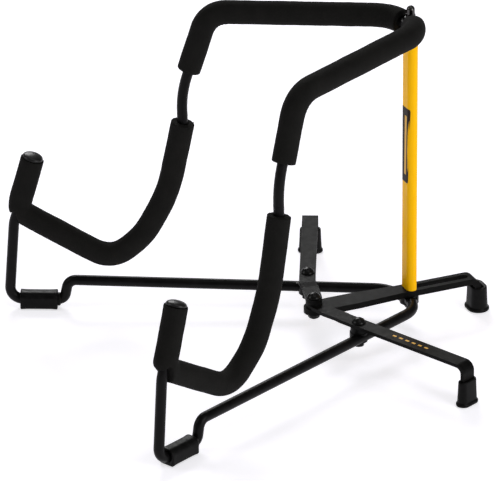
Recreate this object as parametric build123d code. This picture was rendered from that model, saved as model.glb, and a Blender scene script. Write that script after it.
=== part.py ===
"""Folding stand for an acoustic guitar: two hinged side frames, a pole and three legs.

Millimetres, +Z up.  The cradles face -Y, the single rear leg points to +Y and the floor is z = 0.
Each side frame is drawn folded flat, in its own upright plane beside the pole, and is then swung
out about the pole.  The left half mirrors the right half.
"""
import os
from math import atan2, cos, degrees, radians, sin, tan

from build123d import *

# ---- driving dimensions ---------------------------------------------------------------------
POLE_Y = 127.5            # pole axis, behind the middle of the footprint
OPEN_ANGLE = 25.3         # each side frame's swing from straight ahead, stand open

ROD_D = 10.0              # bent steel rod of the side frames and pegs
FOAM_D = 22.4             # foam sleeves
ARM_OFFSET = 23.7         # side frame's plane, beside the pole axis
HUB_TURN = 50.0           # level bend that brings the rod in to the pole axis
HUB_BEND_R = 30.0
TOP_Z = 305.0             # upper bar
LOWER_Z = 28.2            # front end of the lower bar; its rear end is at its hinge eye's height
FLOOR_BAR_Z = 8.0         # rod inside the floor sleeve

# corners of the two rods in the frame's plane: (reach in front of the pole, height, bend radius)
TOP_CORNER = (187.9, TOP_Z, 22.0)
DROP_CORNERS = [(214.2, 219.3, 110.0), (211.6, 188.2, 100.0)]
CRADLE_CORNERS = {                  # the left cradle's floor starts nearer the pole
    "right": [(226.4, 121.8, 150.0), (248.6, 76.0, 60.0), (285.5, 47.0, 22.0)],
    "left": [(225.6, 121.8, 150.0), (245.4, 77.2, 60.0), (279.2, 49.2, 24.0)],
}
NOSE = (368.6, 100.2)               # the cradle rod ends here, welded to the front rod
PEG_CORNER = (372.4, 88.0, 40.0)
TOE_CORNER = (378.2, FLOOR_BAR_Z, 12.0)
STEP_CORNERS = [(326.2, FLOOR_BAR_Z, 7.5), (322.2, LOWER_Z, 9.0)]

TOP_FOAM_END = (206.0, 246.4)       # lower end, on the drop
CRADLE_FOAM_START = (212.0, 193.0)
PEG_LEAN = 17.2                     # backwards, from upright
PEG_LENGTH = 53.0                   # rod above the nose
PEG_FOAM_TOP = 56.6                 # foam above the nose
CAP_D = 15.0                        # domed plug in the peg's end: stem, then dome
CAP_STEM = 7.0
CAP_DOME_D = 19.6
CAP_DOME = 4.4

SLEEVE_SPAN = (334.0, 367.8)        # rubber floor sleeve on the frame, from the pole
SLEEVE_WIDTH = 17.0
SLEEVE_HEIGHT = 16.6

EYE_R = 9.0               # flattened hinge eyes at the rod's ends
EYE_T = 3.8
EYE_NECK = 12.0           # width of the flattened neck behind an eye
NECK_LENGTH = 10.8
FOAM_GAP = 2.6            # from an eye's edge to the top foam
NECK_GAP = 1.1            # centre leg over the lower eyes, so that it clears their necks
PLAY = 0.2                # running gap between faces that slide on each other

POLE_LENGTH_X = 19.0      # flat-sided oval tube
POLE_WIDTH_Y = 10.2
POLE_WALL = 1.1
LABEL_SPAN = (145.5, 221.5)
SPINE_D = 5.0             # long bolt through the pole
SPINE_PLAY = 0.08
SLIDE_PLAY = 0.08         # bush in the centre leg's slot
HEAD_FLATS = 8.0
SPINE_HEAD_T = 3.6
HUB_WASHER_R = 7.0
CUP_T = 2.6               # cup washer under the dome nut
DOME_NUT_T = 3.4          # its hexagon
DOME_R = 3.9
DOME_RISE = 4.0           # straight part between the hexagon and the ball

LEG_TOP = 35.0            # centre leg: shallow channel
LEG_WEB = 2.6
LEG_DEPTH = 6.0
LEG_WALL = 2.2
LEG_WIDTH = 17.6
LEG_FLARE = 23.0          # width towards the front pivot
LEG_TAIL_Y = 56.0         # where the channel ends in a flat tail
LEG_BEND_Y = 66.6         # where the tail turns down
SLOT_WIDTH = 7.0
SLOT_FRONT = -3.8
SLOT_REAR = 60.4
REAR_FOOT_Y = 70.5

PIVOT_Y = -98.0           # front pivot, on the centre plane
LINK_REACH = 96.0         # link bolt along the frame, from the pole axis
LINK_OFFSET = 19.5        # and beside it
SIDE_FOOT = (177.5, -23.1)
BAR_WIDTH = 15.5          # side legs: flat bar
BAR_T = 3.4
BAR_Z = 37.0              # underside of the side legs over the side frames
CREASE_REACH = 17.0       # the bar's crease, inside the link bolt
RAMP = (23.0, 40.0)       # sloping stretch, from the front pivot
RIGHT_EYE_Z = LEG_TOP + 0.1
LEFT_EYE_Z = 40.6

BOSS_R = 8.5              # round boss on the lower bar
BOSS_T = 9.0
STUD_D = 6.0
STUD_PLAY = 0.05
WASHER_T = 1.2
SPACER_D = 15.5
HEAD_D = 13.0
HEAD_T = 4.8
HEX = 10.0

SIDE_CAP_TOP = (19.8, 7.8)      # rubber end caps: flat pockets, across and along the bar
SIDE_CAP_FOOT = (24.0, 12.8)
REAR_CAP_TOP = (23.0, 15.6)
REAR_CAP_FOOT = (27.0, 21.0)
CAP_HEIGHT = 24.5
CAP_FLANGE = 3.4
CAP_TAPER = 1.8           # the wall's foot over its top

# ---- derived places -------------------------------------------------------------------------
SWING = radians(OPEN_ANGLE)
TURN = radians(HUB_TURN)
ROUND_START = ARM_OFFSET / sin(TURN) - HUB_BEND_R * tan(TURN / 2) - 1.0
HUB_REACH = ARM_OFFSET / tan(TURN)
LINK_X = LINK_REACH * sin(SWING) + LINK_OFFSET * cos(SWING)
LINK_Y = -LINK_REACH * cos(SWING) + LINK_OFFSET * sin(SWING)
LOWER_EYE_TOP = LEG_TOP - LEG_DEPTH - NECK_GAP
LOWER_EYE_MID = LOWER_EYE_TOP - EYE_T - PLAY / 2


# ---- helpers --------------------------------------------------------------------------------
def disc(radius, low, high, x=0.0, y=0.0):
    """Upright round slug between two heights."""
    return Pos(x, y, low) * extrude(Circle(radius), high - low)


def ring(radius, hole, low, high, x=0.0, y=0.0):
    """Upright tube between two heights."""
    return Pos(x, y, low) * extrude(Circle(radius) - Circle(hole), high - low)


def hexagon(flats, low, high, x=0.0, y=0.0):
    """Upright hexagonal prism with softened corners, given its width across flats."""
    prism = extrude(RegularPolygon(flats / 2, 6, major_radius=False), high - low)
    rounding = Cylinder(flats * 0.56, high - low, align=(Align.CENTER, Align.CENTER, Align.MIN))
    return Pos(x, y, low) * (prism & chamfer(rounding.edges(), 0.5))


def dome_head(diameter, height, low, x=0.0, y=0.0):
    """Low domed bolt head standing on a short rim."""
    rim = 0.8
    radius = diameter / 2
    rise = height - rim
    sphere_r = (radius * radius + rise * rise) / (2 * rise)
    ball = Pos(0, 0, height - sphere_r) * Sphere(sphere_r)
    return Pos(x, y, low) * (Cylinder(radius, 2 * height) & Pos(0, 0, height) * Box(
        2 * diameter, 2 * diameter, 2 * height) & ball)


def swept(path, diameter):
    """Round bar along a path."""
    return sweep(Plane(path @ 0, z_dir=path % 0) * Circle(diameter / 2), path=path)


def frame_place(reach, height):
    """Point in a side frame's plane, the frame folded flat."""
    return (ARM_OFFSET, -reach, height)


def hub_place(along, height):
    """Point on the straight stretch that leads out from the pole axis."""
    return (along * sin(TURN), -along * cos(TURN), height)


def peg_place(along):
    """Point of the peg's axis, measured up from the nose."""
    lean = radians(PEG_LEAN)
    return frame_place(NOSE[0] - along * sin(lean), NOSE[1] + along * cos(lean))


def rod_line(start, corners, end):
    """Straight runs between two places, rounded at the corners, which are (place, radius) pairs."""
    places = [start] + [place for place, _ in corners] + [end]
    return FilletPolyline(*places, radius=[radius for _, radius in corners])


def frame_corners(corners):
    """The same pairs for corners given by reach, height and bend radius."""
    return [(frame_place(reach, height), radius) for reach, height, radius in corners]


def hub_corner(height):
    return (frame_place(HUB_REACH, height), HUB_BEND_R)


def in_place(shape, side):
    """Swing a folded right-hand frame part out, and mirror it for the left side."""
    opened = Rot(0, 0, OPEN_ANGLE) * shape
    return opened if side == "right" else mirror(opened, about=Plane.YZ)


def mirrored(shape, side):
    return shape if side == "right" else mirror(shape, about=Plane.YZ)


# ---- side frame -----------------------------------------------------------------------------
def hinge_eye(low):
    """Flattened rod end: an eye on the pole axis and the neck that widens into the round rod."""
    middle = low + EYE_T / 2
    eye = disc(EYE_R, low, low + EYE_T)
    eye += Pos(*hub_place(NECK_LENGTH / 2, middle)) * Rot(0, 0, HUB_TURN - 90) * Box(
        NECK_LENGTH, EYE_NECK, EYE_T)
    outward = Vector(*hub_place(1, 0))
    across = (outward.Y, -outward.X, 0)
    flat_end = Plane(hub_place(NECK_LENGTH, middle), x_dir=across, z_dir=outward) * Rectangle(
        EYE_NECK, EYE_T)
    round_end = Plane(hub_place(ROUND_START, middle), x_dir=across, z_dir=outward) * Circle(
        ROD_D / 2)
    eye += loft([flat_end, round_end])
    return eye - disc(SPINE_D / 2 + SPINE_PLAY, low - 1, low + EYE_T + 1)


def eye_middle(lap, side):
    """Height of an eye's middle: the right frame's eyes lie on the left frame's."""
    step = (EYE_T + PLAY) / 2
    return lap + step if side == "right" else lap - step


def upper_rod(side, front_rod):
    """Upper bar, drop and cradle, ending at the weld on the front rod."""
    height = eye_middle(TOP_Z, side)
    corners = [hub_corner(height)]
    corners += frame_corners([TOP_CORNER] + DROP_CORNERS + CRADLE_CORNERS[side])
    line = rod_line(hub_place(ROUND_START, height), corners, frame_place(*NOSE))
    return swept(line, ROD_D) - front_rod + hinge_eye(height - EYE_T / 2)


def lower_rod(side):
    """Peg, front rod, floor stretch and lower bar, with the boss for the side leg."""
    height = eye_middle(LOWER_EYE_MID, side)
    corners = frame_corners([PEG_CORNER, TOE_CORNER] + STEP_CORNERS) + [hub_corner(height)]
    line = rod_line(peg_place(PEG_LENGTH), corners, hub_place(ROUND_START, height))
    rod = swept(line, ROD_D)
    low, high = boss_span(side)
    for middle in (low - ROD_D / 2, high + ROD_D / 2):
        rod -= Pos(LINK_OFFSET, -LINK_REACH, middle) * Box(3.4 * BOSS_R, 2.6 * BOSS_R, ROD_D)
    rod += disc(BOSS_R, low, high, LINK_OFFSET, -LINK_REACH)
    rod += hinge_eye(height - EYE_T / 2)
    return rod - disc(STUD_D / 2, 0, 60, LINK_OFFSET, -LINK_REACH)


def boss_span(side):
    """Lowest and highest level of the boss, which lies on the lower bar's centre line."""
    hub_z = eye_middle(LOWER_EYE_MID, side)
    share = (LINK_REACH - HUB_REACH) / (STEP_CORNERS[-1][0] - HUB_REACH)
    middle = hub_z + (LOWER_Z - hub_z) * share
    return (middle - BOSS_T / 2, middle + BOSS_T / 2)


def peg_plane(along):
    """Plane square to the peg's axis."""
    lean = radians(PEG_LEAN)
    return Plane(origin=peg_place(along), x_dir=(1, 0, 0), z_dir=(0, sin(lean), cos(lean)))


def top_foam(side, rod):
    height = eye_middle(TOP_Z, side)
    corners = [hub_corner(height)] + frame_corners([TOP_CORNER])
    line = rod_line(hub_place(EYE_R + FOAM_GAP, height), corners, frame_place(*TOP_FOAM_END))
    return swept(line, FOAM_D) - rod


def cradle_foam(side, upper, lower, cap):
    """One sleeve over the cradle and up the peg, with a tight fold at the nose."""
    corners = frame_corners(CRADLE_CORNERS[side])
    line = rod_line(frame_place(*CRADLE_FOAM_START), corners, frame_place(*NOSE))
    foam = swept(line, FOAM_D)
    foam += peg_plane(0) * Cylinder(
        FOAM_D / 2, PEG_FOAM_TOP, align=(Align.CENTER, Align.CENTER, Align.MIN))
    foam += peg_plane(0) * Sphere(FOAM_D / 2)
    return foam - upper - lower - cap


def peg_cap(rod):
    """Domed plug pressed over the peg's end; the dome's rim lies on the foam."""
    stem = Cylinder(CAP_D / 2, CAP_STEM, align=(Align.CENTER, Align.CENTER, Align.MIN))
    dome = Pos(0, 0, CAP_STEM) * dome_head(CAP_DOME_D, CAP_DOME, 0)
    return peg_plane(PEG_FOAM_TOP - CAP_STEM) * (stem + dome) - rod


def foot_sleeve(rod):
    near, far = SLEEVE_SPAN
    section = RectangleRounded(SLEEVE_WIDTH, SLEEVE_HEIGHT, 5.0)
    block = Plane(
        origin=(ARM_OFFSET, -near, SLEEVE_HEIGHT / 2), x_dir=(1, 0, 0), z_dir=(0, -1, 0)
    ) * section
    block = extrude(block, far - near)
    sole = Box(SLEEVE_WIDTH - 1.5, far - near, SLEEVE_HEIGHT / 2)
    block += Pos(ARM_OFFSET, -(near + far) / 2, SLEEVE_HEIGHT / 4) * sole
    return block - rod


def side_frame_nodes(side):
    lower = lower_rod(side)
    upper = upper_rod(side, lower)
    cap = peg_cap(lower)
    boss_low, boss_high = boss_span(side)
    stud_top = BAR_Z - PLAY
    stud = disc(STUD_D / 2, boss_low - 5.6, stud_top, LINK_OFFSET, -LINK_REACH)
    spacer = ring(SPACER_D / 2, STUD_D / 2, boss_high, stud_top, LINK_OFFSET, -LINK_REACH)
    nut = hexagon(HEX, boss_low - 4.8, boss_low, LINK_OFFSET, -LINK_REACH) - stud
    nodes = {
        "upper_rod": upper,
        "lower_rod": lower,
        "top_foam": top_foam(side, upper),
        "cradle_foam": cradle_foam(side, upper, lower, cap),
        "peg_cap": cap,
        "floor_sleeve": foot_sleeve(lower),
        "link_stud": stud,
        "link_spacer": spacer,
        "link_nut": nut,
    }
    return {f"{name}_{side}": in_place(shape, side) for name, shape in nodes.items()}


# ---- rubber end cap -------------------------------------------------------------------------
def rubber_cap(foot, top):
    """Round-ended cap standing on the floor at the origin, before the bar's socket is cut."""
    flange = extrude(SlotOverall(*foot), CAP_FLANGE)
    flange = chamfer(flange.edges().group_by(Axis.Z)[-1], 1.0)
    wall_base = Pos(0, 0, CAP_FLANGE) * SlotOverall(top[0] + CAP_TAPER, top[1] + CAP_TAPER)
    wall_top = Pos(0, 0, CAP_HEIGHT) * SlotOverall(*top)
    return flange + loft([wall_base, wall_top])


# ---- side legs ------------------------------------------------------------------------------
def flat_bar(points, radii):
    """Flat bar bent along a line in the X-Z plane, centred across its width."""
    side_view = Plane(origin=(0, BAR_WIDTH / 2, 0), x_dir=(1, 0, 0), z_dir=(0, -1, 0))
    line = FilletPolyline(*points, radius=radii)
    return extrude(side_view * trace(line, BAR_T), BAR_WIDTH)


def side_leg(side):
    """Side leg from the front pivot over the side frame to its foot, on the right-hand side."""
    eye_low = RIGHT_EYE_Z if side == "right" else LEFT_EYE_Z
    eye_mid = eye_low + BAR_T / 2
    bar_mid = BAR_Z + BAR_T / 2
    link = Vector(LINK_X, LINK_Y)
    foot = Vector(*SIDE_FOOT)
    run = (foot - link).normalized()
    crease = link - run * CREASE_REACH
    pivot = Vector(0, PIVOT_Y)
    eye_run = crease - pivot
    eye_angle = degrees(atan2(eye_run.Y, eye_run.X))
    run_angle = degrees(atan2(run.Y, run.X))

    inner = flat_bar(
        [(0, eye_mid), (RAMP[0], eye_mid), (RAMP[1], bar_mid), (eye_run.length, bar_mid)],
        [6.0, 6.0])
    inner += disc(BAR_WIDTH / 2, eye_low, eye_low + BAR_T)
    inner = Pos(0, PIVOT_Y, 0) * Rot(0, 0, eye_angle) * inner

    length = (foot - crease).length
    outer = flat_bar([(0, bar_mid), (length, bar_mid), (length, CAP_FLANGE + 2)], [7.0])
    outer += disc(BAR_WIDTH / 2, BAR_Z, BAR_Z + BAR_T)
    outer = Pos(crease.X, crease.Y, 0) * Rot(0, 0, run_angle) * outer

    leg = inner + outer
    leg -= disc(STUD_D / 2 + STUD_PLAY, 0, 60, 0, PIVOT_Y)
    leg -= disc(STUD_D / 2, 0, 60, LINK_X, LINK_Y)
    cap = Pos(foot.X, foot.Y, 0) * Rot(0, 0, run_angle + 90) * rubber_cap(
        SIDE_CAP_FOOT, SIDE_CAP_TOP) - leg
    return leg, cap


def side_leg_nodes(side):
    leg, cap = side_leg(side)
    screw = dome_head(HEAD_D, HEAD_T, BAR_Z + BAR_T, LINK_X, LINK_Y)
    screw += disc(STUD_D / 2, BAR_Z, BAR_Z + BAR_T + 1, LINK_X, LINK_Y)
    nodes = {"side_leg": leg, "side_leg_foot": cap, "link_screw": screw}
    return {f"{name}_{side}": mirrored(shape, side) for name, shape in nodes.items()}


# ---- centre leg -----------------------------------------------------------------------------
def leg_outline(inset):
    """Plan of the centre leg, narrowed all round by inset."""
    half = LEG_WIDTH / 2 - inset
    flare = LEG_FLARE / 2 - inset
    nose = EYE_R + 0.6 - inset
    rear = LEG_TAIL_Y
    body = Polygon(
        (half, rear), (-half, rear), (-half, -12), (-flare, -55), (-flare, -80), (-nose, PIVOT_Y),
        (nose, PIVOT_Y), (flare, -80), (flare, -55), (half, -12), align=None)
    return body + Pos(0, PIVOT_Y) * Circle(nose)


def centre_leg_nodes():
    plate = Pos(0, 0, LEG_TOP - LEG_DEPTH) * extrude(leg_outline(0), LEG_DEPTH)
    hollow = Pos(0, 0, LEG_TOP - LEG_DEPTH - 1) * extrude(
        leg_outline(LEG_WALL), LEG_DEPTH - LEG_WEB + 1)
    mid = LEG_TOP - LEG_DEPTH / 2
    tail_line = FilletPolyline(
        (LEG_TAIL_Y - 3, mid), (LEG_BEND_Y, mid), (REAR_FOOT_Y, CAP_FLANGE + 2), radius=[7.0])
    tail_side = Plane(origin=(-LEG_WIDTH / 2, 0, 0), x_dir=(0, 1, 0), z_dir=(1, 0, 0))
    tail = extrude(tail_side * trace(tail_line, LEG_DEPTH), LEG_WIDTH)
    slot_length = SLOT_REAR - SLOT_FRONT
    slot = Pos(0, (SLOT_REAR + SLOT_FRONT) / 2, LEG_TOP - LEG_DEPTH) * Rot(0, 0, 90) * extrude(
        SlotOverall(slot_length, SLOT_WIDTH), 3 * LEG_DEPTH, both=True)
    leg = plate - hollow + tail
    leg = leg - slot - disc(STUD_D / 2 + STUD_PLAY, 0, 60, 0, PIVOT_Y)
    cap = Pos(0, REAR_FOOT_Y, 0) * rubber_cap(REAR_CAP_FOOT, REAR_CAP_TOP) - leg

    spacer_low = RIGHT_EYE_Z + BAR_T
    left_top = LEFT_EYE_Z + BAR_T
    web_low = LEG_TOP - LEG_WEB
    shank = disc(STUD_D / 2, 22.6, left_top + 1, 0, PIVOT_Y)
    bolt = shank + dome_head(HEAD_D, HEAD_T, left_top + 0.1, 0, PIVOT_Y)
    spacer = ring(SPACER_D / 2, STUD_D / 2, spacer_low + 0.1, LEFT_EYE_Z - 0.1, 0, PIVOT_Y)
    washer = ring(6.4, STUD_D / 2, web_low - 3.0, web_low, 0, PIVOT_Y)
    nut_top = web_low - 3.0
    nut = hexagon(HEX, nut_top - 5.4, nut_top, 0, PIVOT_Y)
    nut += disc(HEX * 0.68, nut_top - 1.4, nut_top, 0, PIVOT_Y)
    nut -= disc(STUD_D / 2, 0, 60, 0, PIVOT_Y)
    return {
        "centre_leg": leg,
        "centre_leg_foot": cap,
        "pivot_bolt": bolt,
        "pivot_spacer": spacer,
        "pivot_washer": washer,
        "pivot_nut": nut,
    }


# ---- pole -----------------------------------------------------------------------------------
def pole_section(grow):
    """Flat-sided oval, wider across the stand than front to back."""
    return SlotOverall(POLE_LENGTH_X + 2 * grow, POLE_WIDTH_Y + 2 * grow)


def pole_nodes():
    low = LEG_TOP + PLAY
    high = TOP_Z - PLAY / 2 - EYE_T - PLAY
    tube = Pos(0, 0, low) * extrude(pole_section(0) - pole_section(-POLE_WALL), high - low)
    plug_t = 9.0
    shaft = disc(SPINE_D / 2, 0, 400)
    plug_low = Pos(0, 0, low) * extrude(pole_section(-POLE_WALL), plug_t) - shaft
    plug_high = Pos(0, 0, high - plug_t) * extrude(pole_section(-POLE_WALL), plug_t) - shaft

    eyes_top = TOP_Z + PLAY / 2 + EYE_T + PLAY
    nut_low = eyes_top + CUP_T
    dome_mid = nut_low + DOME_NUT_T + DOME_RISE
    head_top = LOWER_EYE_MID - PLAY / 2 - EYE_T - PLAY - WASHER_T
    spine = disc(SPINE_D / 2, head_top - 1, nut_low + 7.5)
    spine += hexagon(HEAD_FLATS, head_top - SPINE_HEAD_T, head_top)
    cup = ring(HUB_WASHER_R, SPINE_D / 2, eyes_top, nut_low)
    cup = chamfer(cup.faces().sort_by(Axis.Z)[-1].outer_wire().edges(), 1.6)
    nut = hexagon(HEAD_FLATS, nut_low, nut_low + DOME_NUT_T)
    nut += disc(DOME_R, nut_low + DOME_NUT_T - 0.5, dome_mid)
    nut += Pos(0, 0, dome_mid) * Sphere(DOME_R)
    nut -= spine
    hub_washer = ring(HUB_WASHER_R, SPINE_D / 2, head_top, head_top + WASHER_T)
    bush_low = LOWER_EYE_TOP + PLAY / 4
    bush = ring(SLOT_WIDTH / 2 - SLIDE_PLAY, SPINE_D / 2, bush_low, low)

    label_face = Plane(
        origin=(0, -POLE_WIDTH_Y / 2, 0), x_dir=(1, 0, 0), z_dir=(0, -1, 0))
    half = (POLE_LENGTH_X - POLE_WIDTH_Y) / 2
    label = label_face * Pos(0, sum(LABEL_SPAN) / 2) * Rectangle(2 * half, LABEL_SPAN[1] - LABEL_SPAN[0])
    label = extrude(label, 0.25)
    return {
        "pole_tube": tube,
        "pole_plug_top": plug_high,
        "pole_plug_bottom": plug_low,
        "spine_bolt": spine,
        "dome_nut": nut,
        "cup_washer": cup,
        "hub_washer": hub_washer,
        "slide_bush": bush,
        "pole_label": label,
    }


def main():
    nodes = pole_nodes() | centre_leg_nodes()
    for side in ("right", "left"):
        nodes |= side_frame_nodes(side)
        nodes |= side_leg_nodes(side)
    os.makedirs("parts", exist_ok=True)
    for name, shape in nodes.items():
        export_step(Pos(0, POLE_Y, 0) * shape, f"parts/{name}.step")


main()
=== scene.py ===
"""Looks of the folding guitar stand: foam, rubber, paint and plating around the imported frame."""
from math import acos, atan2, cos, pi, radians, sin, tan

import bmesh
import bpy
from mathutils import Matrix, Vector, noise


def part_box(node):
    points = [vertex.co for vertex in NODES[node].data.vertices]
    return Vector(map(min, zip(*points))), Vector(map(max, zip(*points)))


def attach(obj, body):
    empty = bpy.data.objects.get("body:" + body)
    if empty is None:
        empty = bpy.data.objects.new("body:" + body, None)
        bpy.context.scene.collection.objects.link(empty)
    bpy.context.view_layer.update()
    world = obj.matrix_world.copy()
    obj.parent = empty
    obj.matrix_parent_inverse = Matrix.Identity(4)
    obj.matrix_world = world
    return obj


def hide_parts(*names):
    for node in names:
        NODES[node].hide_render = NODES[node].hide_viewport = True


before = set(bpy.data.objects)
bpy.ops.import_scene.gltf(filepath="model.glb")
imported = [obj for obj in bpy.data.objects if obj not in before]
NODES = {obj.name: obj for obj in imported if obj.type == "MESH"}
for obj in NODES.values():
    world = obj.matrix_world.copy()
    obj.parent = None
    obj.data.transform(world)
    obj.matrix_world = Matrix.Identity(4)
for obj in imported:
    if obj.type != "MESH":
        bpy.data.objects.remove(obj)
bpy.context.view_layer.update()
MM = 0.001
SIDES = {"right": 1, "left": -1}


def middle(node):
    """Centre of a CAD node's box, in metres."""
    low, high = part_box(node)
    return (Vector(low) + Vector(high)) / 2


# ---- places of the side frames, in mm from the pole's axis ----------------------------------
POLE = middle("pole_tube")
OPEN_ANGLE = radians(25.3)      # each side frame's swing from straight ahead
ARM_OFFSET = 23.7               # frame's plane beside the pole
HUB_TURN = radians(50.0)        # the rod leaves the pole at this angle to the frame's plane
HUB_BEND_R = 30.0
TOP_Z = {"right": 307.0, "left": 303.0}     # upper bar at the pole
HUB_OFFSET = {"right": 21.9, "left": 23.7}  # the sleeve's bend beside the pole
TOP_CORNER = {"right": (187.9, 303.6, 27.0), "left": (187.9, 305.0, 22.0)}  # reach, height, radius
TOP_FOAM_START = 11.6                       # from the pole's axis
TOP_FOAM_END = {"right": (205.6, 243.2), "left": (206.0, 246.4)}
CRADLE_FOAM_START = (212.0, 193.0)
CRADLE_CORNERS = {
    "right": [(226.0, 121.8, 150.0), (247.0, 75.2, 60.0), (282.2, 45.6, 27.0)],
    "left": [(226.4, 121.8, 150.0), (248.8, 78.0, 60.0), (280.0, 49.2, 26.0)],
}
FOLD = {"right": (368.4, 97.4), "left": (368.6, 100.8)}     # where the sleeve turns up the peg
NOSE = (368.6, 100.2)
PEG_LEAN = {"right": radians(17.2), "left": radians(15.6)}
PEG_FOAM_TOP = 56.6             # from the nose, along the peg
FOLD_R = 8.0                    # the foam's bend where the cradle turns up into the peg
FOAM_R = 11.2
SLEEVE_SPAN = (332.6, 367.8)    # rubber floor sleeves
SLEEVE_WIDTH = 17.0
SLEEVE_HEIGHT = 16.6
FLOOR_BAR_Z = 8.0
LINK = (58.66, -78.46)          # link bolts and side feet, either side of the pole
SIDE_FOOT = (177.5, -23.1)
REAR_FOOT_Y = 70.5


def frame_point(side, reach, height, offset=ARM_OFFSET):
    """World place of a point in a side frame, given its reach in front of the pole."""
    x = reach * sin(OPEN_ANGLE) + offset * cos(OPEN_ANGLE)
    y = -reach * cos(OPEN_ANGLE) + offset * sin(OPEN_ANGLE)
    return Vector((SIDES[side] * x * MM, y * MM + POLE.y, height * MM))


def beside(side, place):
    """World place on the floor of an (x, y) given for the right side."""
    return Vector((SIDES[side] * place[0] * MM + POLE.x, place[1] * MM + POLE.y, 0))


def peg_point(side, along):
    """World place of a point on the peg's axis, measured from the nose."""
    lean = PEG_LEAN[side]
    return frame_point(side, NOSE[0] - along * sin(lean), NOSE[1] + along * cos(lean))


# ---- mesh helpers ---------------------------------------------------------------------------
def new_object(name, bm, smooth=True):
    """Links a mesh object made from bm, with its normals facing out."""
    bmesh.ops.recalc_face_normals(bm, faces=bm.faces)
    for face in bm.faces:
        face.smooth = smooth
    mesh = bpy.data.meshes.new(name)
    bm.to_mesh(mesh)
    bm.free()
    obj = bpy.data.objects.new(name, mesh)
    bpy.context.collection.objects.link(obj)
    return obj


def apply_modifiers(obj):
    """Writes the modifiers' result into the object's mesh."""
    graph = bpy.context.evaluated_depsgraph_get()
    mesh = bpy.data.meshes.new_from_object(obj.evaluated_get(graph))
    obj.modifiers.clear()
    obj.data = mesh


def finish_piece(obj, body, material, replaced=()):
    """Gives a piece its body and material, and hides the CAD nodes it stands for."""
    obj.data.materials.clear()
    obj.data.materials.append(material)
    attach(obj, body)
    if replaced:
        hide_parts(*replaced)
    return obj


def rounded_path(corners, step):
    """Points every step along straight runs joined by arcs; corners are (place, radius) pairs."""
    places = [Vector(place) for place, _ in corners]
    points = [places[0]]
    for i in range(1, len(places) - 1):
        back = (places[i - 1] - places[i]).normalized()
        ahead = (places[i + 1] - places[i]).normalized()
        half = acos(max(-1.0, min(1.0, back.dot(ahead)))) / 2
        radius = corners[i][1]
        reach = radius / tan(half)
        centre = places[i] + (back + ahead).normalized() * (radius / sin(half))
        start = places[i] + back * reach - centre
        end = places[i] + ahead * reach - centre
        turn = pi - 2 * half
        count = max(3, round(radius * turn / step))
        for k in range(count + 1):
            points.append(centre + start.normalized().slerp(end.normalized(), k / count) * radius)
    points.append(places[-1])
    return resample(points, step)


def resample(points, step):
    """Points spaced evenly along a polyline."""
    runs = [(b - a).length for a, b in zip(points, points[1:])]
    total = sum(runs)
    count = max(2, round(total / step))
    result = []
    run, walked = 0, 0.0
    for k in range(count + 1):
        target = total * k / count
        while run < len(runs) - 1 and walked + runs[run] < target:
            walked += runs[run]
            run += 1
        share = (target - walked) / runs[run] if runs[run] else 0.0
        result.append(points[run].lerp(points[run + 1], min(1.0, share)))
    return result


def path_frames(points):
    """(place, tangent, normal, binormal, distance, bend) at each point, without twist."""
    tangents = []
    for i in range(len(points)):
        before = points[max(0, i - 1)]
        after = points[min(len(points) - 1, i + 1)]
        tangents.append((after - before).normalized())
    normal = tangents[0].orthogonal().normalized()
    distance = 0.0
    frames = []
    for i, (point, tangent) in enumerate(zip(points, tangents)):
        normal = (normal - tangent * normal.dot(tangent)).normalized()
        if i:
            distance += (point - points[i - 1]).length
        lag = min(i, len(points) - 1 - i, 2)
        bend = tangents[i + lag] - tangents[i - lag]
        length = (points[i + lag] - points[i - lag]).length
        bend = bend / length if length else Vector((0, 0, 0))
        frames.append((point, tangent, normal, tangent.cross(normal), distance, bend))
    return frames


def flat_ring(bm, centre, side_dir, up_dir, points):
    """Vertices of one ring, given as (across, up) pairs in mm from its centre."""
    return [bm.verts.new(centre + side_dir * (a * MM) + up_dir * (b * MM)) for a, b in points]


def bridge(bm, first, second):
    """Quads between two rings of equal count."""
    count = len(first)
    for k in range(count):
        bm.faces.new((first[k], first[(k + 1) % count], second[(k + 1) % count], second[k]))


def skin(bm, rings):
    """Surface over a run of rings, closed at both ends."""
    for first, second in zip(rings, rings[1:]):
        bridge(bm, first, second)
    bm.faces.new(list(reversed(rings[0])))
    bm.faces.new(rings[-1])


def lathe(bm, centre, axis, profile, sides=48):
    """Closed turned solid: profile is (radius, height) pairs in mm along axis."""
    axis = axis.normalized()
    side_dir = axis.orthogonal().normalized()
    other = axis.cross(side_dir)
    turns = [2 * pi * k / sides for k in range(sides)]
    rings = []
    for radius, height in profile:
        points = [(radius * cos(turn), radius * sin(turn)) for turn in turns]
        rings.append(flat_ring(bm, centre + axis * (height * MM), side_dir, other, points))
    skin(bm, rings)


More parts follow.
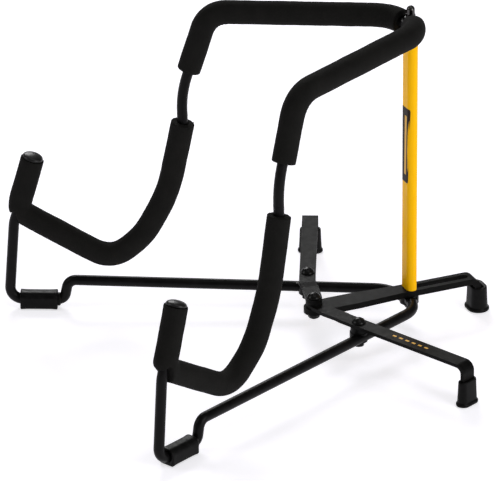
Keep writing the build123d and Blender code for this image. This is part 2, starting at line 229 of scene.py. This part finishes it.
# ---- materials ------------------------------------------------------------------------------
class Shader:
    """A principled material and the few nodes that this scene's finishes are made of."""

    def __init__(self, name, color, roughness, **sockets):
        self.material = bpy.data.materials.new(name)
        self.material.use_nodes = True
        self.tree = self.material.node_tree
        self.bsdf = self.tree.nodes["Principled BSDF"]
        self.coords = self.tree.nodes.new("ShaderNodeTexCoord").outputs["Object"]
        self.bsdf.inputs["Base Color"].default_value = (*color, 1.0)
        self.bsdf.inputs["Roughness"].default_value = roughness
        for key, value in sockets.items():
            self.bsdf.inputs[key.replace("_", " ")].default_value = value

    def node(self, kind, **inputs):
        made = self.tree.nodes.new(kind)
        for key, value in inputs.items():
            socket = made.inputs[key.replace("_", " ")]
            if isinstance(value, bpy.types.NodeSocket):
                self.tree.links.new(value, socket)
            else:
                socket.default_value = value
        return made

    def grain(self, size, detail=3.0, rough=0.6, stretch=(1.0, 1.0, 1.0)):
        """Noise with features about size mm across."""
        place = self.node("ShaderNodeMapping", Vector=self.coords, Scale=stretch)
        return self.node("ShaderNodeTexNoise", Vector=place.outputs["Vector"], Scale=1000.0 / size,
                         Detail=detail, Roughness=rough).outputs["Fac"]

    def cells(self, size):
        """Distance to the nearest of cells about size mm across."""
        return self.node("ShaderNodeTexVoronoi", Vector=self.coords,
                         Scale=1000.0 / size).outputs["Distance"]

    def spread(self, value, low, high, out_low, out_high):
        """Maps a range of value onto another, clamped."""
        return self.node("ShaderNodeMapRange", Value=value, From_Min=low, From_Max=high,
                         To_Min=out_low, To_Max=out_high).outputs["Result"]

    def tint(self, factor, first, second):
        """Colour between two, by factor, on the base colour."""
        mix = self.tree.nodes.new("ShaderNodeMix")
        mix.data_type = "RGBA"
        self.tree.links.new(factor, mix.inputs["Factor"])
        mix.inputs[6].default_value = (*first, 1.0)
        mix.inputs[7].default_value = (*second, 1.0)
        self.tree.links.new(mix.outputs[2], self.bsdf.inputs["Base Color"])
        return mix.outputs[2]

    def roughen(self, value):
        self.tree.links.new(value, self.bsdf.inputs["Roughness"])

    def bump(self, *layers):
        """Bump from (height, depth in mm) layers."""
        normal = None
        for height, depth in layers:
            made = self.node("ShaderNodeBump", Height=height, Distance=depth * MM, Strength=1.0)
            if normal is not None:
                self.tree.links.new(normal, made.inputs["Normal"])
            normal = made.outputs["Normal"]
        self.tree.links.new(normal, self.bsdf.inputs["Normal"])


def foam_material():
    """Black closed-cell foam: matt skin with fine pores and faint paler scuffs."""
    shader = Shader("foam", (0.0075, 0.0072, 0.0066), 0.9, Specular_IOR_Level=0.1)
    pores = shader.cells(0.9)
    mottle = shader.grain(14.0)
    shader.tint(shader.spread(mottle, 0.35, 0.7, 0.0, 1.0),
                (0.0062, 0.006, 0.0054), (0.0098, 0.0094, 0.0086))
    shader.roughen(shader.spread(mottle, 0.3, 0.7, 0.82, 0.95))
    shader.bump((shader.spread(pores, 0.0, 0.5, 1.0, 0.0), 0.10), (shader.grain(3.0), 0.16))
    return shader.material


def rod_material():
    """Black powder coat on round rod: semi-gloss with a fine orange peel."""
    shader = Shader("rod_coat", (0.004, 0.0037, 0.0038), 0.3, Specular_IOR_Level=0.09)
    peel = shader.grain(1.1, detail=2.0)
    wear = shader.grain(9.0)
    shader.tint(shader.spread(wear, 0.4, 0.75, 0.0, 1.0),
                (0.0032, 0.003, 0.0031), (0.0058, 0.0053, 0.0055))
    shader.roughen(shader.spread(wear, 0.3, 0.7, 0.28, 0.42))
    shader.bump((peel, 0.05))
    return shader.material


def leg_material():
    """Black coat on flat steel: satin, with faint rub marks."""
    shader = Shader("leg_coat", (0.005, 0.0048, 0.0046), 0.42, Specular_IOR_Level=0.05)
    rub = shader.grain(6.0, stretch=(1.0, 1.0, 3.0))
    shader.tint(shader.spread(rub, 0.4, 0.72, 0.0, 1.0),
                (0.0035, 0.0034, 0.0032), (0.0068, 0.0065, 0.0062))
    shader.roughen(shader.spread(rub, 0.3, 0.7, 0.38, 0.52))
    shader.bump((shader.grain(1.3, detail=2.0), 0.05))
    return shader.material


def rubber_material():
    """Moulded black rubber with a dusty bloom."""
    shader = Shader("foot_rubber", (0.006, 0.0059, 0.0058), 0.34, Specular_IOR_Level=0.07)
    bloom = shader.grain(5.0)
    shader.tint(shader.spread(bloom, 0.4, 0.75, 0.0, 1.0),
                (0.0038, 0.0037, 0.0036), (0.0072, 0.007, 0.0068))
    shader.roughen(shader.spread(bloom, 0.3, 0.7, 0.28, 0.46))
    shader.bump((shader.grain(0.8, detail=2.0), 0.05))
    return shader.material


def cap_material():
    """Glossy black plug with faint mould flow."""
    shader = Shader("cap_plastic", (0.006, 0.0058, 0.0058), 0.34, Specular_IOR_Level=0.3)
    flow = shader.grain(4.0)
    shader.tint(flow, (0.005, 0.0048, 0.0048), (0.009, 0.0085, 0.0083))
    shader.roughen(shader.spread(flow, 0.3, 0.7, 0.3, 0.42))
    shader.bump((shader.grain(2.0, detail=1.0), 0.03))
    return shader.material


def pole_material():
    """Glossy golden-yellow coat over steel."""
    shader = Shader("pole_coat", (1.0, 0.5, 0.001), 0.34, Specular_IOR_Level=0.06)
    cloud = shader.grain(30.0, stretch=(1.0, 1.0, 0.3))
    shader.tint(cloud, (1.0, 0.50, 0.0), (1.0, 0.53, 0.001))
    shader.roughen(shader.spread(cloud, 0.3, 0.7, 0.2, 0.3))
    shader.bump((shader.grain(1.4, detail=2.0), 0.02))
    return shader.material


def steel_material():
    """Black-nickel plating on the dome nut and spine."""
    shader = Shader("dark_plating", (0.06, 0.058, 0.056), 0.16, Metallic=1.0)
    streak = shader.grain(2.5)
    shader.tint(streak, (0.045, 0.044, 0.043), (0.09, 0.086, 0.083))
    shader.roughen(shader.spread(streak, 0.3, 0.7, 0.1, 0.24))
    shader.bump((shader.grain(0.6, detail=2.0), 0.01))
    return shader.material


def bolt_material():
    """Black oxide on bolts and nuts, a little worn."""
    shader = Shader("bolt_oxide", (0.006, 0.0058, 0.0056), 0.3, Specular_IOR_Level=0.16)
    wear = shader.grain(1.6)
    shader.tint(shader.spread(wear, 0.45, 0.75, 0.0, 1.0),
                (0.0038, 0.0037, 0.0036), (0.009, 0.0085, 0.008))
    shader.roughen(shader.spread(wear, 0.3, 0.7, 0.22, 0.36))
    shader.bump((shader.grain(0.5, detail=2.0), 0.02))
    return shader.material


def nylon_material():
    """Black nylon washers and plugs."""
    shader = Shader("black_nylon", (0.004, 0.004, 0.004), 0.4, Specular_IOR_Level=0.1)
    haze = shader.grain(2.0)
    shader.tint(haze, (0.003, 0.003, 0.003), (0.006, 0.006, 0.006))
    shader.roughen(shader.spread(haze, 0.3, 0.7, 0.4, 0.6))
    shader.bump((shader.grain(0.7), 0.02))
    return shader.material


def label_material():
    """Dark brown printed film."""
    shader = Shader("label_film", (0.02, 0.012, 0.010), 0.5, Specular_IOR_Level=0.12)
    print_grain = shader.grain(0.7)
    shader.tint(print_grain, (0.014, 0.009, 0.008), (0.028, 0.016, 0.012))
    shader.roughen(shader.spread(print_grain, 0.3, 0.7, 0.45, 0.58))
    shader.bump((print_grain, 0.01))
    return shader.material


def print_material():
    """Golden ink of the plain stripe and dashes."""
    shader = Shader("golden_ink", (0.85, 0.45, 0.03), 0.45, Specular_IOR_Level=0.4)
    patchy = shader.grain(0.9)
    shader.tint(patchy, (0.78, 0.38, 0.02), (0.92, 0.52, 0.05))
    shader.roughen(shader.spread(patchy, 0.3, 0.7, 0.4, 0.55))
    shader.bump((patchy, 0.01))
    return shader.material


FOAM = foam_material()
ROD = rod_material()
LEG = leg_material()
RUBBER = rubber_material()
CAP = cap_material()
YELLOW = pole_material()
STEEL = steel_material()
BOLT = bolt_material()
NYLON = nylon_material()
FILM = label_material()
INK = print_material()


# ---- foam sleeves ---------------------------------------------------------------------------
FOAM_STEP = 1.5         # mm between rings
FOAM_SIDES = 44
END_ROUND = 1.4
VOXEL = 0.9
FOLD_BULGE = {"right": 1.6, "left": -0.6}
BULGE_PLACE = (9.0, 8.0)    # from the nose, along the reach and up
BULGE_SPREAD = 9.0
SLIT = [                    # opening for the front rod, from the nose
    (1.9, 3.8), (-2.1, -14.0), (0.0, -24.0), (30.0, -24.0), (30.0, -8.0), (10.9, -3.2),
]
SLIT_HALF_WIDTH = 16.0
RIPPLE_PITCH = 5.2          # between the small folds on the inside of a bend


def foam_radius(place, direction, distance, bend):
    """Outer radius in mm: swells and dents a little, and folds on the inside of a bend."""
    squeeze = bend.length * FOAM_R * MM
    inward = bend.normalized().dot(direction) if squeeze > 0.02 else 0.0
    radius = FOAM_R * (1.0 - 0.05 * squeeze * (2 * inward * inward - 1))
    ripple = 0.5 + 0.5 * sin(distance / MM * 2 * pi / RIPPLE_PITCH + 2.0 * noise.noise(place * 60))
    radius += squeeze * max(0.0, inward) ** 2 * (2.2 - 1.3 * ripple)
    radius += 0.28 * noise.noise(place * 55) + 0.12 * noise.noise(place * 190)
    return radius


def foam_tube(points, open_start=True, open_end=True):
    """Closed sleeve along points; an open end shows the cut face and the lip around the rod."""
    frames = path_frames(points)
    total = frames[-1][4] / MM
    bm = bmesh.new()
    rings = []

    def add_ring(index, shift, radius=None, shrink=0.0):
        point, tangent, normal, binormal, distance, bend = frames[index]
        ring = []
        for k in range(FOAM_SIDES):
            turn = 2 * pi * k / FOAM_SIDES
            direction = normal * cos(turn) + binormal * sin(turn)
            place = point + tangent * (shift * MM)
            reach = radius if radius is not None else foam_radius(
                point + direction * FOAM_R * MM, direction, distance, bend) - shrink
            ring.append(bm.verts.new(place + direction * (reach * MM)))
        rings.append(ring)

    lip = [(3.0, 4.4), (0.9, 5.35), (0.25, 6.0), (0.0, 7.4)]
    rounding = [radians(turn) for turn in (0, 22, 45, 68)]
    if open_start:
        for depth, radius in lip:
            add_ring(0, depth, radius)
    for turn in rounding:
        add_ring(0, END_ROUND * (1 - sin(turn)) * 0.8, None, END_ROUND * (1 - cos(pi / 2 - turn)))
    first = next(i for i, item in enumerate(frames) if item[4] / MM > END_ROUND * 0.9)
    last = max(i for i, item in enumerate(frames) if item[4] / MM < total - END_ROUND * 0.9)
    for i in range(first, last + 1):
        add_ring(i, 0.0)
    for turn in reversed(rounding):
        add_ring(len(frames) - 1, -END_ROUND * (1 - sin(turn)) * 0.8, None,
                 END_ROUND * (1 - cos(pi / 2 - turn)))
    if open_end:
        for depth, radius in reversed(lip):
            add_ring(len(frames) - 1, -depth, radius)
    skin(bm, rings)
    return bm


def add_top_foam(side):
    height = TOP_Z[side]
    hub_reach = ARM_OFFSET / tan(HUB_TURN)
    start = frame_point(side, TOP_FOAM_START * cos(HUB_TURN), height, TOP_FOAM_START * sin(HUB_TURN))
    corners = [
        (start, 0.0),
        (frame_point(side, hub_reach, height, HUB_OFFSET[side]), HUB_BEND_R * MM),
        (frame_point(side, *TOP_CORNER[side][:2]), TOP_CORNER[side][2] * MM),
        (frame_point(side, *TOP_FOAM_END[side]), 0.0),
    ]
    points = rounded_path(corners, FOAM_STEP * MM)
    obj = new_object(f"top_sleeve_{side}", foam_tube(points))
    finish_piece(obj, f"arm_{side}", FOAM, (f"top_foam_{side}",))


def prism(side, outline, half_width):
    """Block over an outline given in reach and height, across a side frame's plane."""
    bm = bmesh.new()
    near = [bm.verts.new(frame_point(side, r, z, ARM_OFFSET - half_width)) for r, z in outline]
    far = [bm.verts.new(frame_point(side, r, z, ARM_OFFSET + half_width)) for r, z in outline]
    bridge(bm, near, far)
    bm.faces.new(near)
    bm.faces.new(list(reversed(far)))
    return new_object("cutter", bm, smooth=False)


def add_cradle_foam(side):
    """One sleeve over the cradle, folded up over the peg and slit where the front rod comes out."""
    corners = [(frame_point(side, *CRADLE_FOAM_START), 0.0)]
    corners += [(frame_point(side, r, z), radius * MM) for r, z, radius in CRADLE_CORNERS[side]]
    corners += [(frame_point(side, *FOLD[side]), FOLD_R * MM), (peg_point(side, PEG_FOAM_TOP), 0.0)]
    points = rounded_path(corners, FOAM_STEP * MM)
    obj = new_object(f"cradle_sleeve_{side}", foam_tube(points, open_end=False))
    bulge = frame_point(side, NOSE[0] + BULGE_PLACE[0], NOSE[1] + BULGE_PLACE[1])
    outward = (frame_point(side, 10.0, -2.0) - frame_point(side, 0.0, 0.0)).normalized()
    for vertex in obj.data.vertices:
        distance = (vertex.co - bulge).length / MM
        vertex.co += outward * (FOLD_BULGE[side] * MM * 2.718 ** (-(distance / BULGE_SPREAD) ** 2))
    slit = [(NOSE[0] + reach, NOSE[1] + height) for reach, height in SLIT]
    cutter = prism(side, slit, SLIT_HALF_WIDTH)
    cut = obj.modifiers.new("slit", "BOOLEAN")
    cut.operation = "DIFFERENCE"
    cut.object = cutter
    cut.solver = "EXACT"
    cut.use_self = True
    remesh = obj.modifiers.new("remesh", "REMESH")
    remesh.mode = "VOXEL"
    remesh.voxel_size = VOXEL * MM
    relax = obj.modifiers.new("relax", "SMOOTH")
    relax.factor = 0.5
    relax.iterations = 4
    apply_modifiers(obj)
    bpy.data.objects.remove(cutter)
    for face in obj.data.polygons:
        face.use_smooth = True
    finish_piece(obj, f"arm_{side}", FOAM, (f"cradle_foam_{side}",))


# ---- plugs, floor sleeves and end caps ------------------------------------------------------
PLUG_R = 9.8
PLUG_RISE = 3.6
PLUG_STEPS = 13


def add_peg_cap(side):
    """Domed plug: stem, rim and dome, with a shallow gate mark in the middle."""
    top = peg_point(side, PEG_FOAM_TOP)
    axis = top - frame_point(side, *NOSE)
    rim = 0.75
    top_height = rim + PLUG_RISE
    profile = [(7.3, -6.0), (7.4, -0.6), (9.3, -0.5), (9.7, -0.1), (PLUG_R, 0.3), (9.75, 0.7)]
    for k in range(1, PLUG_STEPS):
        turn = pi / 2 * k / PLUG_STEPS
        profile.append((PLUG_R * 0.985 * cos(turn), rim + PLUG_RISE * sin(turn)))
    profile += [(1.0, top_height), (0.8, top_height - 0.15), (0.3, top_height - 0.15)]
    bm = bmesh.new()
    lathe(bm, top, axis, profile)
    obj = new_object(f"peg_plug_{side}", bm)
    finish_piece(obj, f"arm_{side}", CAP, (f"peg_cap_{side}",))


SLEEVE_ROUNDS = (6.0, 2.2)      # corner radii at the top and at the sole
SLEEVE_LIP = [(3.0, 4.5), (0.9, 5.3), (0.2, 6.0)]       # depth and radius around the rod


def sleeve_section(grow):
    """Outline of the floor sleeve: flat sole, rounded top, as (across, height) pairs in mm."""
    half = SLEEVE_WIDTH / 2 + grow
    top = SLEEVE_HEIGHT + grow
    sole = max(0.0, -grow)
    points = []
    round_top, round_sole = SLEEVE_ROUNDS
    for centre_x, centre_z, radius, start in (
            (half - round_top, top - round_top, round_top, 0),
            (-half + round_top, top - round_top, round_top, 90),
            (-half + round_sole, sole + round_sole, round_sole, 180),
            (half - round_sole, sole + round_sole, round_sole, 270)):
        for k in range(8):
            turn = radians(start + 90 * k / 7)
            points.append((centre_x + radius * cos(turn), centre_z + radius * sin(turn)))
    return points


def add_floor_sleeve(side):
    """Rubber sleeve with flared ends and a lip around the rod, and its collar behind."""
    near, far = SLEEVE_SPAN
    across = (frame_point(side, 0, 0, 1.0) - frame_point(side, 0, 0, 0.0)).normalized()
    up = Vector((0, 0, 1))
    bm = bmesh.new()
    rings = []
    span = far - near
    stations = [(0.0, -0.7), (0.25, -0.2), (0.8, 0.0)]
    stations += [(span * k / 14, 0.0) for k in range(1, 14)]
    stations += [(span - 0.8, 0.0), (span - 0.25, -0.2), (span, -0.7)]

    def hole_ring(reach, radius):
        turns = [atan2(b - FLOOR_BAR_Z, a) for a, b in sleeve_section(0.0)]
        points = [(radius * cos(turn), radius * sin(turn)) for turn in turns]
        rings.append(flat_ring(bm, frame_point(side, reach, FLOOR_BAR_Z), across, up, points))

    for depth, radius in SLEEVE_LIP:
        hole_ring(near + depth, radius)
    for station, shrink in stations:
        middle_share = 1 - abs(2 * station / span - 1)
        sag = -0.32 * min(1.0, middle_share * 3)
        floor_point = frame_point(side, near + station, 0.0)
        points = [(a, max(b, 0.0)) for a, b in sleeve_section(shrink + sag)]
        rings.append(flat_ring(bm, floor_point, across, up, points))
    for depth, radius in reversed(SLEEVE_LIP):
        hole_ring(far - depth, radius)
    skin(bm, rings)
    obj = new_object(f"floor_grip_{side}", bm)
    finish_piece(obj, f"arm_{side}", RUBBER, (f"floor_sleeve_{side}",))

    bm = bmesh.new()
    behind = frame_point(side, near + 0.6, FLOOR_BAR_Z)
    axis = frame_point(side, 0, 0) - frame_point(side, 1, 0)
    profile = [(4.6, 0.0), (6.1, 0.2), (6.4, 0.8), (6.4, 2.6), (6.1, 3.1), (5.3, 3.4), (4.6, 3.2)]
    lathe(bm, behind, axis, profile, sides=36)
    collar = new_object(f"grip_collar_{side}", bm)
    finish_piece(collar, f"arm_{side}", RUBBER)


SIDE_CAP = {"foot": (12.2, 7.0), "top": (10.2, 4.7), "mouth": (8.1, 2.4)}    # half sizes, mm
REAR_CAP = {"foot": (13.5, 10.5), "top": (11.5, 7.8), "mouth": (9.1, 3.4)}
CAP_PROFILE = [     # outline it follows, mm outside that outline, height
    ("foot", -0.9, 0.0), ("foot", -0.35, 0.15), ("foot", -0.05, 0.7), ("foot", 0.0, 1.6),
    ("foot", -0.25, 2.6), ("foot", -0.75, 3.1), ("top", 0.95, 3.5), ("top", 0.85, 4.2),
    ("top", 0.8, 5.5), ("top", 0.55, 10.0), ("top", 0.3, 16.0), ("top", 0.12, 21.5), ("top", 0.0, 23.2),
    ("top", -0.15, 24.0), ("top", -0.5, 24.4), ("top", -0.9, 24.5), ("mouth", 0.2, 24.3),
    ("mouth", 0.0, 23.5), ("mouth", 0.0, 21.0),
]
CAP_SIDES = 56


def round_ended(across, along, sides):
    """Outline with flat long sides and round ends, given its half sizes."""
    points = []
    for k in range(sides):
        turn = 2 * pi * (k + 0.5) / sides
        shift = across - along if cos(turn) > 0 else along - across
        points.append((shift + along * cos(turn), along * sin(turn)))
    return points


def add_end_cap(name, node, body, place, along, size):
    """Flat rubber pocket with a foot flange and a mouth around the bar."""
    along = Vector((along.x, along.y, 0)).normalized()
    across = Vector((-along.y, along.x, 0))
    bm = bmesh.new()
    rings = []
    for outline, grow, height in CAP_PROFILE:
        centre = Vector((place.x, place.y, height * MM))
        half_across, half_along = size[outline]
        rings.append(flat_ring(bm, centre, across, along,
                               round_ended(half_across + grow, half_along + grow, CAP_SIDES)))
    skin(bm, rings)
    obj = new_object(name, bm)
    finish_piece(obj, body, RUBBER, (node,))


# ---- flat bars and hardware: the CAD shapes with their edges broken --------------------------
def soften(node, body, material, width, segments=2):
    """Copy of a CAD node with its sharp edges rounded by width mm."""
    bm = bmesh.new()
    bm.from_mesh(NODES[node].data)
    bmesh.ops.remove_doubles(bm, verts=bm.verts, dist=0.0005 * MM)
    bmesh.ops.dissolve_limit(bm, angle_limit=radians(0.6), verts=bm.verts, edges=bm.edges)
    obj = new_object(f"{node}_part", bm)
    bevel = obj.modifiers.new("bevel", "BEVEL")
    bevel.width = width * MM
    bevel.segments = segments
    bevel.limit_method = "ANGLE"
    bevel.angle_limit = radians(35)
    weighted = obj.modifiers.new("weighted", "WEIGHTED_NORMAL")
    weighted.mode = "FACE_AREA"
    weighted.weight = 100
    apply_modifiers(obj)
    finish_piece(obj, body, material, (node,))
    return obj


# ---- label and printed marks ----------------------------------------------------------------
POLE_HALF_FLAT = 4.4            # the tube's flat faces, either side of its middle
POLE_ROUND = 5.1                # radius of its rounded noses
LABEL_LEFT = -7.0               # arc from the front face's middle, towards the right nose
LABEL_RIGHT = (6.2, 8.8)        # at its low and high end
LABEL_LOW = 145.5
LABEL_LENGTH = 76.0
FILM_LIFT = 0.12
INK_LIFT = 0.05                 # over the film
STRIPE = (0.44, 0.7)            # across the label, from 0 to 1
STRIPE_INSET = 8.0


def on_pole(arc, height, lift):
    """Place on the pole's skin at an arc from the front face's middle."""
    radius = POLE_ROUND + lift
    beyond = abs(arc) - POLE_HALF_FLAT
    turn = max(0.0, beyond) / POLE_ROUND
    x = min(abs(arc), POLE_HALF_FLAT) + radius * sin(turn)
    x = -x if arc < 0 else x
    return Vector((POLE.x + x * MM, POLE.y - radius * cos(turn) * MM, height * MM))


def on_label(across, along, lift):
    """Place on the label: across from 0 to 1, along in mm from its low end."""
    right = LABEL_RIGHT[0] + (LABEL_RIGHT[1] - LABEL_RIGHT[0]) * along / LABEL_LENGTH
    arc = LABEL_LEFT + (right - LABEL_LEFT) * across
    return on_pole(arc, LABEL_LOW + along, lift)


def label_patch(bm, outline, lift, columns=20):
    """Skin patch over rows of (across, low, high)."""
    rows = []
    for one, two in zip(outline, outline[1:]):
        steps = max(1, round(columns * (two[0] - one[0])))
        for k in range(steps + (two is outline[-1])):
            share = k / steps
            across, low, high = (a + (b - a) * share for a, b in zip(one, two))
            rows.append([bm.verts.new(on_label(across, along, level))
                         for along, level in ((low, 0.02), (low, lift), (high, lift), (high, 0.02))])
    for one, two in zip(rows, rows[1:]):
        bridge(bm, one, two)
    bm.faces.new(rows[0])
    bm.faces.new(list(reversed(rows[-1])))


def add_label():
    """Dark wrap-round film with one plain golden stripe, without lettering."""
    bm = bmesh.new()
    top = LABEL_LENGTH
    label_patch(bm, [(0.0, 1.5, top - 1.5), (0.1, 0.0, top), (0.9, 0.0, top), (0.96, 0.4, top - 0.5),
                     (1.0, 1.6, top - 1.8)], FILM_LIFT)
    film = new_object("label_film", bm, smooth=False)
    finish_piece(film, "pole", FILM, ("pole_label",))
    bm = bmesh.new()
    stripe = [(across, STRIPE_INSET, top - STRIPE_INSET) for across in STRIPE]
    label_patch(bm, stripe, FILM_LIFT + INK_LIFT)
    marks = new_object("label_marks", bm, smooth=False)
    finish_piece(marks, "pole", INK)


BAR_TOP = 40.4                  # the side leg's top face
DASH_COUNT = 6
DASH_START = 43.8               # from the link bolt, along the bar
DASH_PITCH = 7.6
DASH_CORNERS = [(-2.0, -1.1), (2.0, -1.1), (2.0, 1.1), (-2.0, 1.1)]


def add_leg_marks():
    """Row of short golden dashes on the right side leg's outer bar."""
    link = beside("right", LINK)
    run = (beside("right", SIDE_FOOT) - link).normalized()
    across = Vector((-run.y, run.x, 0))
    bm = bmesh.new()
    for k in range(DASH_COUNT):
        centre = link + run * ((DASH_START + DASH_PITCH * k) * MM)
        corners = [centre + run * (a * MM) + across * (b * MM)
                   for a, b in DASH_CORNERS]
        low = [bm.verts.new(Vector((p.x, p.y, (BAR_TOP - 0.02) * MM))) for p in corners]
        high = [bm.verts.new(Vector((p.x, p.y, (BAR_TOP + 0.06) * MM))) for p in corners]
        bridge(bm, low, high)
        bm.faces.new(list(reversed(low)))
        bm.faces.new(high)
    marks = new_object("leg_marks", bm, smooth=False)
    finish_piece(marks, "side_leg_right", INK)


# ---- the object -----------------------------------------------------------------------------
def paint(node, material):
    """Gives a CAD node that keeps its shape its material."""
    NODES[node].data.materials.clear()
    NODES[node].data.materials.append(material)


for side in SIDES:
    add_top_foam(side)
    add_cradle_foam(side)
    add_peg_cap(side)
    add_floor_sleeve(side)
    foot = beside(side, SIDE_FOOT)
    add_end_cap(f"side_cap_{side}", f"side_leg_foot_{side}", f"side_leg_{side}", foot,
                foot - beside(side, LINK), SIDE_CAP)
    soften(f"side_leg_{side}", f"side_leg_{side}", LEG, 0.45)
    soften(f"link_screw_{side}", f"side_leg_{side}", BOLT, 0.3)
    soften(f"link_nut_{side}", f"arm_{side}", BOLT, 0.3)
    for node, slot, material in (
            (f"upper_rod_{side}", "frame_paint", ROD), (f"lower_rod_{side}", "frame_paint", ROD),
            (f"link_stud_{side}", "frame_paint", ROD), (f"link_spacer_{side}", "washer_nylon", NYLON)):
        paint(node, material)
add_end_cap("rear_cap", "centre_leg_foot", "centre_leg",
            beside("right", (0.0, REAR_FOOT_Y)), Vector((0, 1, 0)), REAR_CAP)
soften("centre_leg", "centre_leg", LEG, 0.4)
soften("pivot_bolt", "centre_leg", BOLT, 0.3)
soften("pivot_nut", "centre_leg", BOLT, 0.3)
soften("dome_nut", "pole", STEEL, 0.3, 3)
soften("cup_washer", "pole", BOLT, 0.25)
for node, material in (
        ("pole_tube", YELLOW), ("pole_plug_top", NYLON), ("pole_plug_bottom", NYLON),
        ("spine_bolt", STEEL), ("hub_washer", NYLON), ("slide_bush", NYLON),
        ("pivot_spacer", NYLON), ("pivot_washer", NYLON)):
    paint(node, material)
add_label()
add_leg_marks()


# ---- floor, lights and camera ---------------------------------------------------------------
def add_floor():
    """Wide pale floor that stays near white but still takes soft shadows."""
    bm = bmesh.new()
    bmesh.ops.create_grid(bm, x_segments=1, y_segments=1, size=12.0)
    floor = new_object("floor", bm)
    floor.location.z = -0.0005
    shader = Shader("floor", (0.78, 0.76, 0.84), 0.75, Specular_IOR_Level=0.1)
    shader.bsdf.inputs["Emission Color"].default_value = (1.0, 1.0, 1.0, 1.0)
    shader.bsdf.inputs["Emission Strength"].default_value = 0.57
    floor.data.materials.append(shader.material)


def add_light(name, place, target, size, power, color=(1.0, 1.0, 1.0)):
    """Soft box facing target."""
    data = bpy.data.lights.new(name, "AREA")
    data.shape = "RECTANGLE"
    data.size, data.size_y = size
    data.energy = power
    data.color = color
    light = bpy.data.objects.new(name, data)
    light.location = place
    light.rotation_euler = (Vector(target) - Vector(place)).to_track_quat("-Z", "Y").to_euler()
    bpy.context.collection.objects.link(light)


def add_camera(azimuth, elevation, roll, distance, target, lens):
    """Long lens looking at target; azimuth is from -Y towards +X, all angles in degrees."""
    turn, rise = radians(azimuth), radians(elevation)
    back = Vector((sin(turn) * cos(rise), -cos(turn) * cos(rise), sin(rise)))
    data = bpy.data.cameras.new("camera")
    data.lens = lens
    data.sensor_width = 36.0
    data.clip_end = 60.0
    camera = bpy.data.objects.new("camera", data)
    look = (-back).to_track_quat("-Z", "Y").to_matrix().to_4x4()
    tilt = Matrix.Rotation(radians(roll), 4, "Z")
    camera.matrix_world = Matrix.Translation(target + back * distance) @ look @ tilt
    bpy.context.collection.objects.link(camera)
    bpy.context.scene.camera = camera


add_floor()
world = bpy.data.worlds.new("studio")
world.use_nodes = True
world.node_tree.nodes["Background"].inputs["Color"].default_value = (1.0, 1.0, 1.0, 1.0)
world.node_tree.nodes["Background"].inputs["Strength"].default_value = 0.16
bpy.context.scene.world = world
add_light("back", (-2.1, 0.45, 1.5), (0.0, 0.0, 0.05), (1.1, 0.8), 30.0)
add_light("front", (-0.7, -2.3, 1.7), (0.0, 0.0, 0.15), (0.9, 1.2), 14.0)
add_light("right", (2.3, 1.2, 1.0), (0.0, 0.1, 0.2), (1.3, 1.5), 34.0)
add_light("top", (0.5, 0.3, 2.6), (0.0, 0.0, 0.1), (1.4, 1.4), 8.0)
add_camera(66.8, 25.4, -0.39, 5.792, Vector((-0.004, POLE.y - 0.1607, 0.1131)), 450.6)
view = bpy.context.scene.view_settings
view.view_transform = "Standard"
view.look = "None"
